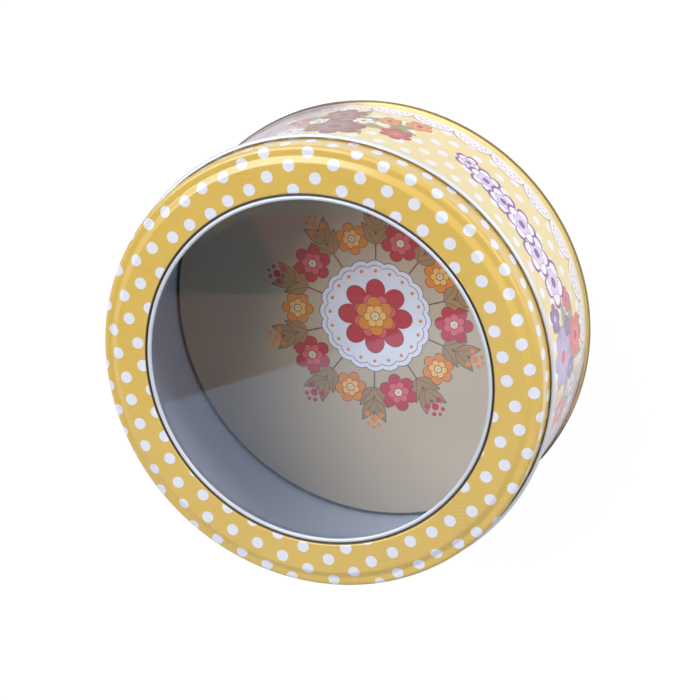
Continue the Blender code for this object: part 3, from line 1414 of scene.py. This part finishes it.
class Lathe:
    """A Geometry Nodes tree that turns an outline about the tin's axis and dresses its two sides."""

    SEGMENTS = 256
    CIRCLE = 1.0 * MM
    MERGE = 0.001 * MM
    SHARP = math.radians(38)
    BARE_ABOVE = 0.25  # mean side of a face's corners, over which the face is bare

    def __init__(self) -> None:
        """Builds the tree: outline to curve, swept round a small circle, merged on the axis, dressed."""
        tree = bpy.data.node_groups.new("Turn about the axis", "GeometryNodeTree")
        self.tree = tree
        self.inputs: dict[str, str] = {}
        tree.interface.new_socket("Outline", in_out="INPUT", socket_type="NodeSocketGeometry")
        for title, kind in (
            ("Segments", "NodeSocketInt"),
            ("Circle", "NodeSocketFloat"),
            ("Print", "NodeSocketMaterial"),
            ("Bare", "NodeSocketMaterial"),
        ):
            socket = tree.interface.new_socket(title, in_out="INPUT", socket_type=kind)
            self.inputs[title] = socket.identifier
        tree.interface.new_socket("Turned", in_out="OUTPUT", socket_type="NodeSocketGeometry")
        entry = add_node(tree, "NodeGroupInput")
        outline = add_node(tree, "GeometryNodeMeshToCurve")
        circle = add_node(tree, "GeometryNodeCurvePrimitiveCircle", mode="RADIUS")
        sweep = add_node(tree, "GeometryNodeCurveToMesh")
        merge = add_node(tree, "GeometryNodeMergeByDistance")
        smooth = add_node(tree, "GeometryNodeSetShadeSmooth")
        realize = add_node(tree, "GeometryNodeRealizeInstances")
        side = add_node(tree, "GeometryNodeInputNamedAttribute", data_type="FLOAT")
        bare = add_node(tree, "ShaderNodeMath", operation="GREATER_THAN")
        set_print = add_node(tree, "GeometryNodeSetMaterial")
        set_bare = add_node(tree, "GeometryNodeSetMaterial")
        leave = add_node(tree, "NodeGroupOutput")
        side.inputs["Name"].default_value = "side"
        bare.inputs[1].default_value = self.BARE_ABOVE
        merge.inputs["Distance"].default_value = self.MERGE
        for output, entrance in (
            (entry.outputs["Outline"], outline.inputs["Mesh"]),
            (entry.outputs["Segments"], circle.inputs["Resolution"]),
            (entry.outputs["Circle"], circle.inputs["Radius"]),
            (circle.outputs["Curve"], sweep.inputs["Curve"]),
            (outline.outputs["Curve"], sweep.inputs["Profile Curve"]),
            (sweep.outputs["Mesh"], merge.inputs["Geometry"]),
            (merge.outputs["Geometry"], smooth.inputs[0]),
            (smooth.outputs[0], realize.inputs["Geometry"]),
            (realize.outputs["Geometry"], set_print.inputs["Geometry"]),
            (entry.outputs["Print"], set_print.inputs["Material"]),
            (set_print.outputs["Geometry"], set_bare.inputs["Geometry"]),
            (side.outputs["Attribute"], bare.inputs[0]),
            (bare.outputs[0], set_bare.inputs["Selection"]),
            (entry.outputs["Bare"], set_bare.inputs["Material"]),
            (set_bare.outputs["Geometry"], leave.inputs["Turned"]),
        ):
            tree.links.new(output, entrance)

    def turn(
        self, name: str, points: Sequence[ProfilePoint], printed: bpy.types.Material, bare: bpy.types.Material
    ) -> bpy.types.Object:
        """Turns an outline into a finished piece.

        Args:
            name: the piece's name.
            points: the outline; one that starts on the axis is left open there.
            printed: material of the printed side.
            bare: material of the other side and of cut edges.

        Returns:
            An object at the origin with a plain closed mesh.
        """
        last = len(points) - 1
        edges = [(index, index + 1) for index in range(last)]
        if points[0].radius > 0:
            edges.append((last, 0))
        mesh = bpy.data.meshes.new(name)
        mesh.from_pydata([(p.radius * MM - self.CIRCLE, -p.height * MM, 0.0) for p in points], edges, [])
        for title in ("blank", "edge", "side"):
            layer = mesh.attributes.new(title, "FLOAT", "POINT")
            layer.data.foreach_set("value", [float(getattr(point, title)) for point in points])
        piece = add_object(name, mesh)
        modifier = piece.modifiers.new("turn", "NODES")
        modifier.node_group = self.tree
        values = {"Segments": self.SEGMENTS, "Circle": self.CIRCLE, "Print": printed, "Bare": bare}
        for title, value in values.items():
            modifier[self.inputs[title]] = value
        self._settle(piece)
        bpy.data.meshes.remove(mesh)
        return piece

    def _settle(self, piece: bpy.types.Object) -> None:
        """Replaces the live modifier by the plain mesh it makes, with its faces outward.

        Args:
            piece: the object with the modifier.
        """
        graph = bpy.context.evaluated_depsgraph_get()
        evaluated = piece.evaluated_get(graph)
        made = bpy.data.meshes.new_from_object(evaluated, preserve_all_data_layers=True, depsgraph=graph)
        made.name = piece.name
        piece.modifiers.clear()
        piece.data = made
        shell = bmesh.new()
        shell.from_mesh(made)
        bmesh.ops.recalc_face_normals(shell, faces=shell.faces)
        shell.to_mesh(made)
        shell.free()
        made.shade_smooth()
        made.set_sharp_from_angle(angle=self.SHARP)


@dataclass(frozen=True)
class Reach:
    """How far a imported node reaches, in millimetres: its radius, lowest and highest point."""

    radius: float
    low: float
    high: float

    @classmethod
    def of(cls, node: str) -> Reach:
        """Measures a node of the frame."""
        low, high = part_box(node)
        return cls(high.x / MM, low.z / MM, high.z / MM)


@dataclass
class Workshop:
    """What every piece is made with: the lathe and the shared node groups."""

    lathe: Lathe = field(default_factory=Lathe)
    effects: Effects = field(default_factory=Effects)


def seat(piece: bpy.types.Object, body: Body, node: str) -> bpy.types.Object:
    """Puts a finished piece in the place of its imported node.

    Args:
        piece: the piece.
        body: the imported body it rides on.
        node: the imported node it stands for.

    Returns:
        The piece.
    """
    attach(piece, body.value)
    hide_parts(node)
    return piece


BRIGHT_TIN = Finish("bright_tin", Ink.TIN, roughness=0.38, metallic=0.5, cloud=0.06, streak=0.03, peel=0.05)
RING_TIN = RingTin("ring_tin", Ink.SATIN, roughness=0.42, metallic=0.28, cloud=0.04, streak=0.03, peel=0.05)
INSIDE_TIN = Finish(
    "inside_tin", Ink.INSIDE_GREY, roughness=0.4, metallic=0.05, cloud=0.08, streak=0.06, peel=0.1
)
LID_PRINT = LidPrint(
    "lid_print", Ink.GOLD, roughness=0.3, coat=0.55, coat_roughness=0.12, streak=0.02, wear=0.28
)
BODY_PRINT = BodyPrint("body_print", Ink.YELLOW, roughness=0.3, coat=0.1, shine=0.3, streak=0.02, wear=0.28)
BASE_PRINT = BasePrint("base_print", Ink.BEIGE, roughness=0.38, coat=0.2, coat_roughness=0.2)
# pale yellow ground of the rim lacquer: its own pale lacquer, lightened further as painted light against the
# shade in the crevice by the ledge
RIM_LACQUER = RimLacquer("rim_lacquer", Ink.PALE_YELLOW, roughness=0.5, shine=0.15, streak=0.02)


@dataclass
class Lid:
    """Lid: printed shell, the bright ring that holds the window, and the clear pane."""

    shop: Workshop
    sheet: float = 0.25
    rim_width: float = 19.65
    lip_length: float = 0.1
    lip_bend: float = 0.95
    step_drop: float = 1.5
    step_angle: float = math.radians(30)
    step_bend: float = 1.1
    ledge_width: float = 1.75
    shoulder_radius: float = 2.0
    curl_radius: float = 1.1
    curl_turn: float = math.radians(280)
    bond_gap: float = 0.3
    bead_gap: float = 0.6
    bead_radius: float = 0.9
    bead_turn: float = math.radians(215)
    bead_web: float = 0.525
    bead_bend: float = 0.175
    ring_grip: float = 6.0
    # how far past the opening the lip's painted shade reaches
    lip_shade_reach: float = 0.42
    # how far below the bead's top the groove's painted shade begins
    groove_shade_drop: float = 0.55

    def __post_init__(self) -> None:
        """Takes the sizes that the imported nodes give."""
        self.half = self.sheet / 2
        self.shell_reach = Reach.of("lid_shell")
        self.ring_reach = Reach.of("window_ring")
        self.pane_reach = Reach.of("window_pane")
        self.radius = self.shell_reach.radius - 2 * self.curl_radius + self.sheet
        self.opening = self.radius - self.rim_width
        self.lip_drop = self.sheet + self.lip_bend + self.lip_length

    def build(self) -> list[bpy.types.Object]:
        """Makes and dresses the lid's pieces."""
        return [self._shell(), self._ring(), self._pane()]

    def _shell(self) -> bpy.types.Object:
        """Lip, panel, step, ledge, shoulder, skirt and curl, from the opening outward.

        Returns:
            The piece, in its place.
        """
        step_path = self.step_bend + self.half
        slope = (self.step_drop - 2 * step_path * (1 - math.cos(self.step_angle))) / math.sin(self.step_angle)
        step_width = 2 * step_path * math.sin(self.step_angle) + slope * math.cos(self.step_angle)
        panel = self.radius - self.shoulder_radius - self.ledge_width - step_width
        panel_start = self.opening + self.sheet + self.lip_bend
        depth = self.shell_reach.high - self.shell_reach.low
        skirt = depth - self.curl_radius - self.step_drop - self.shoulder_radius
        start = self.shell_reach.high - self.lip_drop
        path = SheetPath(self.opening + self.half, start, UP, self.sheet)
        path.run(self.lip_length).bend(self.lip_bend + self.half, -QUARTER)
        path.run(panel - panel_start).blank_matches(panel)
        path.bend(step_path, -self.step_angle).run(slope).bend(step_path, self.step_angle)
        path.run(self.ledge_width).bend(self.shoulder_radius - self.half, -QUARTER)
        path.run(skirt).bend(self.curl_radius - self.half, self.curl_turn)
        printed = replace(LID_PRINT, lip_shade_radius=self.opening + self.lip_shade_reach).material(self.shop.effects)
        bare = BRIGHT_TIN.material(self.shop.effects)
        shell = self.shop.lathe.turn("printed_lid_shell", path.outline(Side.PRINT), printed, bare)
        return seat(shell, Body.LID, "lid_shell")

    def _ring(self) -> bpy.types.Object:
        """Grip under the pane, fold round its edge, seat under the lip, web and rolled bead.

        Returns:
            The piece, in its place.
        """
        pane_thickness = self.pane_reach.high - self.pane_reach.low
        fold = (pane_thickness + self.sheet) / 2 + self.bond_gap
        centre = self.ring_reach.radius - fold - self.half
        web = self.opening - self.bead_gap - self.half
        bead_path = self.bead_bend + self.half
        path = SheetPath(centre - self.ring_grip, self.ring_reach.low + self.half, OUTWARD, self.sheet)
        path.run(self.ring_grip).bend(fold, HALF_TURN)
        path.run(centre - web - bead_path).bend(bead_path, -QUARTER)
        path.run(self.bead_web).bend(self.bead_radius - self.half, self.bead_turn)
        finish = replace(
            RING_TIN,
            bead_radius=self.opening - self.bead_gap - self.bead_radius,
            groove_shade_top=self.ring_reach.high - self.groove_shade_drop,
            groove_shade_low=self.shell_reach.high - self.lip_drop - self.bond_gap - self.half,
        )
        tin = finish.material(self.shop.effects)
        ring = self.shop.lathe.turn("bright_window_ring", path.outline(Side.PRINT), tin, tin)
        return seat(ring, Body.LID, "window_ring")

    def _pane(self) -> bpy.types.Object:
        """Flat disc with eased edges that reaches into the ring's fold.

        Returns:
            The piece, in its place.
        """
        ease = 0.05
        reach = self.pane_reach
        outline = (
            (0.0, reach.high),
            (self.opening, reach.high),
            (reach.radius - ease, reach.high),
            (reach.radius, reach.high - ease),
            (reach.radius, reach.low + ease),
            (reach.radius - ease, reach.low),
            (self.opening, reach.low),
            (0.0, reach.low),
        )
        points = [ProfilePoint(radius, height, radius, 0.0, Side.PRINT) for radius, height in outline]
        film = ClearFilm().material()
        pane = self.shop.lathe.turn("clear_window_pane", points, film, film)
        return seat(pane, Body.LID, "window_pane")


@dataclass
class Tin:
    """The tin under the lid: printed body wall and the base that is double seamed to it."""

    shop: Workshop
    sheet: float = 0.25
    seam_clearance: float = 0.2
    seam_height: float = 3.1
    seam_bend: float = 0.35
    curl_radius: float = 1.45
    curl_turn: float = math.radians(255)
    base_corner: float = 1.0
    hook_bend: float = 0.4
    leg_bend: float = 0.15
    leg_gap: float = 0.02
    # how far in from the seam's outer face the brown begins
    brown_inset: float = 0.1
    # width of the painted shade at the base's corner
    corner_shade_width: float = 0.3
    side_seam_azimuth: float = math.radians(292.5)
    side_seam_width: float = 5.0
    side_seam_depth: float = 0.5
    side_seam_end_gap: float = 2.0

    def __post_init__(self) -> None:
        """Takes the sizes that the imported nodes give."""
        self.half = self.sheet / 2
        self.pitch = self.sheet + self.seam_clearance
        self.wall_reach = Reach.of("body_wall")
        self.base_reach = Reach.of("base_panel")
        self.wall_path = self.wall_reach.radius - self.half - 2 * self.pitch

    def build(self) -> list[bpy.types.Object]:
        """Makes and dresses the tin's pieces."""
        return [self._wall(), self._base()]

    def _wall(self) -> bpy.types.Object:
        """Hook of the base seam, wall and inward curl, with the locked side seam joined on.

        Returns:
            The piece, in its place.
        """
        turn_height = self.half + 2 * self.pitch
        hook_end = self.seam_height - self.half - self.pitch
        path = SheetPath(self.wall_path + 2 * self.pitch, hook_end, DOWN, self.sheet)
        path.run(hook_end - turn_height).bend(self.pitch, -HALF_TURN)
        path.run(self.wall_reach.high - self.curl_radius - turn_height)
        path.bend(self.curl_radius - self.half, self.curl_turn)
        finish = replace(BODY_PRINT, radius=self.wall_path + self.half, seam_azimuth=self.side_seam_azimuth)
        printed = finish.material(self.shop.effects)
        bare = INSIDE_TIN.material(self.shop.effects)
        wall = self.shop.lathe.turn("printed_body_wall", path.outline(Side.BARE), printed, bare)
        self._add_side_seam(wall)
        return seat(wall, Body.TIN, "body_wall")

    def _add_side_seam(self, wall: bpy.types.Object) -> None:
        """Joins the locked seam to the wall's inside: a strip with eased edges that follows the curve.

        Args:
            wall: the turned wall.
        """
        steps = 12
        ease = 0.25
        bite = 0.1
        inside = self.wall_path - self.half
        low = self.base_reach.high + self.side_seam_end_gap
        high = self.wall_reach.high - 2 * self.curl_radius - self.side_seam_end_gap
        half_angle = self.side_seam_width / 2 / inside
        section = [(-half_angle, inside + bite), (-half_angle, inside - self.side_seam_depth + ease)]
        inner = inside - self.side_seam_depth
        eased = half_angle - ease / inside
        section += [(-eased + 2 * eased * step / steps, inner) for step in range(steps + 1)]
        section += [(half_angle, inner + ease), (half_angle, inside + bite)]
        section += [(half_angle - 2 * half_angle * step / steps, inside + bite) for step in range(1, steps)]
        shell = bmesh.new()
        shell.from_mesh(wall.data)
        rings = []
        for height in (low, high):
            ring = []
            for angle, radius in section:
                azimuth = self.side_seam_azimuth + angle
                point = Vector((radius * math.cos(azimuth), radius * math.sin(azimuth), height)) * MM
                ring.append(shell.verts.new(point))
            rings.append(ring)
        lower, upper = rings
        faces = [shell.faces.new(lower), shell.faces.new(list(reversed(upper)))]
        for index in range(len(section)):
            after = (index + 1) % len(section)
            faces.append(shell.faces.new((lower[index], upper[index], upper[after], lower[after])))
        bmesh.ops.recalc_face_normals(shell, faces=faces)
        bare_index = [material.name for material in wall.data.materials].index(INSIDE_TIN.name)
        for face in faces:
            face.material_index = bare_index
            face.smooth = True
        shell.to_mesh(wall.data)
        shell.free()
        wall.data.set_sharp_from_angle(angle=Lathe.SHARP)

    def _base(self) -> bpy.types.Object:
        """Panel, upright wall inside the body, rim that the tin stands on, and hook over the body's.

        Returns:
            The piece, in its place.
        """
        recess = self.base_reach.high - self.sheet
        upright = self.wall_path - self.pitch
        outer = self.wall_path + 3 * self.pitch
        leg = self.wall_path + self.sheet + self.leg_gap
        corner = self.base_corner + self.half
        rim_bend = self.seam_bend + self.half
        hook_low = self.half + 2 * self.pitch
        hook_top = self.seam_height - self.half
        path = SheetPath(0.0, recess + self.half, OUTWARD, self.sheet)
        path.run(upright - corner).bend(corner, -QUARTER)
        path.run(recess - corner - rim_bend).bend(rim_bend, QUARTER)
        path.run(outer - upright - 2 * rim_bend).bend(rim_bend, QUARTER)
        path.run(hook_top - self.hook_bend - rim_bend - self.half).bend(self.hook_bend, QUARTER)
        path.run(outer - leg - self.hook_bend - self.leg_bend).bend(self.leg_bend, QUARTER)
        path.run(hook_top - self.leg_bend - hook_low)
        corner_shade_radius = upright - corner - self.corner_shade_width
        brown_radius = outer + self.half - self.brown_inset
        printed = replace(BASE_PRINT, corner_shade_radius=corner_shade_radius).material(self.shop.effects)
        lacquer = replace(RIM_LACQUER, brown_radius=brown_radius).material(self.shop.effects)
        base = self.shop.lathe.turn("printed_base_panel", path.outline(Side.PRINT), printed, lacquer)
        return seat(base, Body.TIN, "base_panel")


def bearing(azimuth: float, elevation: float) -> Vector:
    """Points towards an azimuth and an elevation.

    Args:
        azimuth, elevation: the angles, in degrees.

    Returns:
        A unit vector.
    """
    turn = math.radians(azimuth)
    rise = math.radians(elevation)
    return Vector((math.cos(rise) * math.cos(turn), math.cos(rise) * math.sin(turn), math.sin(rise)))


def facing(position: Vector, target: Vector, up: Vector) -> Matrix:
    """Places a camera, lamp or card so that its own -Z looks at a target.

    Args:
        position: where it stands.
        target: what it looks at.
        up: the direction that its own Y leans to.

    Returns:
        Its world matrix.
    """
    back = (position - target).normalized()
    right = up.cross(back).normalized()
    matrix = Matrix((right, back.cross(right), back)).transposed().to_4x4()
    matrix.translation = position
    return matrix


class Shade(Enum):
    """Shades of the card that the window and the varnish mirror."""

    PALE_BLUE = (0.75, 0.9, 1.15)
    BROWN = (0.38, 0.26, 0.16)
    DARK_GREEN = (0.02, 0.06, 0.03)
    TERRACOTTA = (0.5, 0.19, 0.08)
    OLIVE = (0.44, 0.36, 0.19)


class CardEdge(NamedTuple):
    """A straight edge across the card, past which along * x + up * y is over a distance."""

    along: float
    up: float
    distance: float
    soft: float

    def mask(self, place: Place) -> Field:
        """Masks the part of the card past the edge."""
        return (place.x * self.along + place.y * self.up).above(self.distance, self.soft)


@dataclass(frozen=True)
class Softbox:
    """A rectangular lamp aimed at the lid."""

    name: str
    azimuth: float
    elevation: float
    size: tuple[float, float]
    level: float
    tint: Colour = (1.0, 1.0, 1.0)
    mirrored: bool = True
    soaked: bool = True
    distance: float = 2.4

    def light(self, centre: Vector) -> None:
        """Hangs the lamp at a power that lights a face turned towards it at the given level.

        Args:
            centre: what it is aimed at.
        """
        lamp = bpy.data.lights.new(self.name, "AREA")
        lamp.shape = "RECTANGLE"
        lamp.size, lamp.size_y = self.size
        lamp.color = self.tint
        lamp.energy = self.level * (math.pi * self.distance) ** 2
        softbox = add_object(self.name, lamp)
        position = centre + bearing(self.azimuth, self.elevation) * self.distance
        softbox.matrix_world = facing(position, centre, Vector((0.0, 0.0, 1.0)))
        softbox.visible_glossy = self.mirrored
        softbox.visible_transmission = self.mirrored
        softbox.visible_diffuse = self.soaked


GLOSS_TINT: Colour = (0.5, 0.78, 1.0)
WHITE_LIGHT = (1.0, 1.0, 1.0, 1.0)


@dataclass
class Studio:
    """Pale floor, soft light, the card that the window mirrors, and the camera.

    Lengths are in metres here, apart from the lid's plane and those that a material reads.
    """

    lid_plane: float  # in millimetres
    lamps: tuple[Softbox, ...] = (
        Softbox("key_softbox", 144.0, 55.0, size=(2.0, 1.5), level=1.0, mirrored=False),
        Softbox("side_softbox", 36.0, 11.0, size=(2.0, 0.7), level=0.53, mirrored=False),
        Softbox("edge_softbox", 36.0, 33.0, size=(2.0, 0.7), level=0.3, soaked=False),
        Softbox("fill_softbox", 345.0, 9.0, size=(1.2, 0.5), level=0.14, mirrored=False),
        Softbox("gloss_softbox", 133.0, 41.0, size=(2.5, 1.1), level=0.85, tint=GLOSS_TINT, soaked=False),
        Softbox("under_softbox", 144.0, -55.0, size=(2.0, 1.5), level=0.6, mirrored=False),
    )
    world_white: Colour = (0.97, 0.985, 1.0)
    world_level: float = 0.12
    floor_size: float = 8.0
    floor_drop: float = 0.0003
    floor_open: float = 92.0  # in millimetres, as the next one is
    floor_open_soft: float = 0.5
    floor_white: float = 0.82
    floor_mirrored: float = 1.1
    floor_beyond: float = 0.4
    floor_fade: float = 60.0  # in millimetres
    seen_diffuse: float = 0.05
    seen_glow: float = 0.98
    camera_azimuth: float = 47.293
    camera_elevation: float = 62.699
    camera_distance: float = 0.9731
    camera_aim: tuple[float, float] = (0.01474, 0.01182)
    camera_roll: float = 0.33
    camera_lens: float = 122.466
    card_azimuth: float = 227.3
    card_elevation: float = 62.7
    card_distance: float = 1.5
    card_size: float = 1.6
    green_edge: CardEdge = CardEdge(along=0.0, up=1.0, distance=81.0, soft=0.8)
    terracotta_edge: CardEdge = CardEdge(along=0.9, up=0.5, distance=18.0, soft=2.0)
    olive_slope: CardEdge = CardEdge(along=-0.515, up=1.0, distance=199.5, soft=3.0)
    olive_edge: CardEdge = CardEdge(along=0.0, up=1.0, distance=163.5, soft=2.0)
    blue_edge: CardEdge = CardEdge(along=0.302, up=-1.0, distance=-15.0, soft=2.0)

    def build(self) -> None:
        """Sets up the light, the floor, the card and the camera."""
        bpy.context.scene.view_settings.view_transform = "Standard"
        self.centre = Vector((0.0, 0.0, self.lid_plane * MM))
        self._world()
        for lamp in self.lamps:
            lamp.light(self.centre)
        self._floor()
        self._card()
        self._camera()

    @staticmethod
    def _seen(tree: Tree) -> Field:
        """1 for rays that show the background: straight, mirrored or through glass."""
        return rays_of(tree, Ray.CAMERA, Ray.GLOSSY, Ray.TRANSMISSION)

    @staticmethod
    def _plate(name: str, finish: str, side: float, height: float = 0.0) -> tuple[bpy.types.Object, Tree]:
        """Adds a flat square that faces up, over the origin.

        Args:
            name: its name.
            finish: name of its material.
            side: length of its sides.
            height: how high it lies.

        Returns:
            The square and the tree of its material, which has no shader yet.
        """
        half = side / 2
        mesh = bpy.data.meshes.new(name)
        ends = ((-half, -half), (half, -half), (half, half), (-half, half))
        mesh.from_pydata([(x, y, height) for x, y in ends], [], [(0, 1, 2, 3)])
        material, tree = new_material(finish)
        tree.nodes.remove(tree.nodes[PRINCIPLED])
        mesh.materials.append(material)
        return add_object(name, mesh), tree

    @staticmethod
    def _matt(tree: Tree, level: float) -> Socket:
        """Adds a matt grey of a level from 0 to 1."""
        return add_shader(tree, "ShaderNodeBsdfDiffuse", (level, level, level, 1.0))

    def _world(self) -> None:
        """White surroundings that light the tin at a plain level."""
        world = bpy.data.worlds.new("studio")
        bpy.context.scene.world = world
        world.use_nodes = True
        tree = world.node_tree
        strength = self._seen(tree) * (1 - self.world_level) + self.world_level
        feed(tree.nodes["Background"], {"Color": (*self.world_white, 1.0), "Strength": strength})

    def _floor(self) -> None:
        """Pale floor that looks white and keeps a faint shadow, clear from below and under the tin."""
        floor, tree = self._plate("floor", "pale_floor", self.floor_size, -self.floor_drop)
        place = Place(tree)
        towards = bearing(self.camera_azimuth, 0.0)
        # painted shade for mirrors: the floor glows dimmer beyond the tin, away from the camera's side, in
        # the tin's reflections of it
        beyond = (place.x * towards.x + place.y * towards.y).below(0.0, self.floor_fade)
        level = beyond * (self.floor_beyond - self.floor_mirrored) + (self.floor_mirrored - self.seen_glow)
        strength = rays_of(tree, Ray.GLOSSY) * level + self.seen_glow
        glow = add_shader(tree, "ShaderNodeEmission", WHITE_LIGHT, strength)
        shown = add_shader(tree, "ShaderNodeAddShader", self._matt(tree, self.seen_diffuse), glow)
        lit = self._matt(tree, self.floor_white)
        top = add_shader(tree, "ShaderNodeMixShader", self._seen(tree), lit, shown)
        behind = Field(add_node(tree, "ShaderNodeNewGeometry").outputs["Backfacing"])
        clear = behind | place.radius.below(self.floor_open, self.floor_open_soft)
        air = add_shader(tree, "ShaderNodeBsdfTransparent")
        show(add_shader(tree, "ShaderNodeMixShader", clear, top, air))

    def _card(self) -> None:
        """Card of soft shades that only mirrors see, so that the window keeps its depth."""
        card, tree = self._plate("window_card", "card_shades", self.card_size)
        position = self.centre + bearing(self.card_azimuth, self.card_elevation) * self.card_distance
        card.matrix_world = facing(position, self.centre, Vector((0.0, 1.0, 0.0)))
        card.visible_camera = False
        card.visible_diffuse = False
        card.visible_shadow = False
        place = Place(tree)
        shades = InkStack(tree, Shade.BROWN)
        green = self.green_edge.mask(place)
        shades.lay(green, Shade.DARK_GREEN)
        shades.lay(self.terracotta_edge.mask(place) * green, Shade.TERRACOTTA)
        shades.lay(self.olive_slope.mask(place) | self.olive_edge.mask(place), Shade.OLIVE)
        shades.lay(self.blue_edge.mask(place), Shade.PALE_BLUE)
        show(add_shader(tree, "ShaderNodeEmission", shades.top))

    def _camera(self) -> None:
        """Camera at the photograph's angle, with the tin's +Y up the picture."""
        camera = bpy.data.cameras.new("camera")
        camera.lens = self.camera_lens
        view = add_object("camera", camera)
        direction = bearing(self.camera_azimuth, self.camera_elevation)
        position = self.centre + direction * self.camera_distance
        target = Vector((*self.camera_aim, self.centre.z))
        roll = Matrix.Rotation(math.radians(self.camera_roll), 4, "Z")
        view.matrix_world = facing(position, target, Vector((0.0, 1.0, 0.0))) @ roll
        bpy.context.scene.camera = view


def main() -> None:
    """Loads the frame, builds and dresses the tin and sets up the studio."""
    logging.basicConfig(level=logging.INFO, format="%(name)s: %(message)s")
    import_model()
    shop = Workshop()
    lid = Lid(shop)
    for assembly in (Tin(shop), lid):
        for piece in assembly.build():
            LOG.info("%s: %d faces", piece.name, len(piece.data.polygons))
    Studio(lid_plane=lid.shell_reach.high).build()


if __name__ == "__main__":
    main()
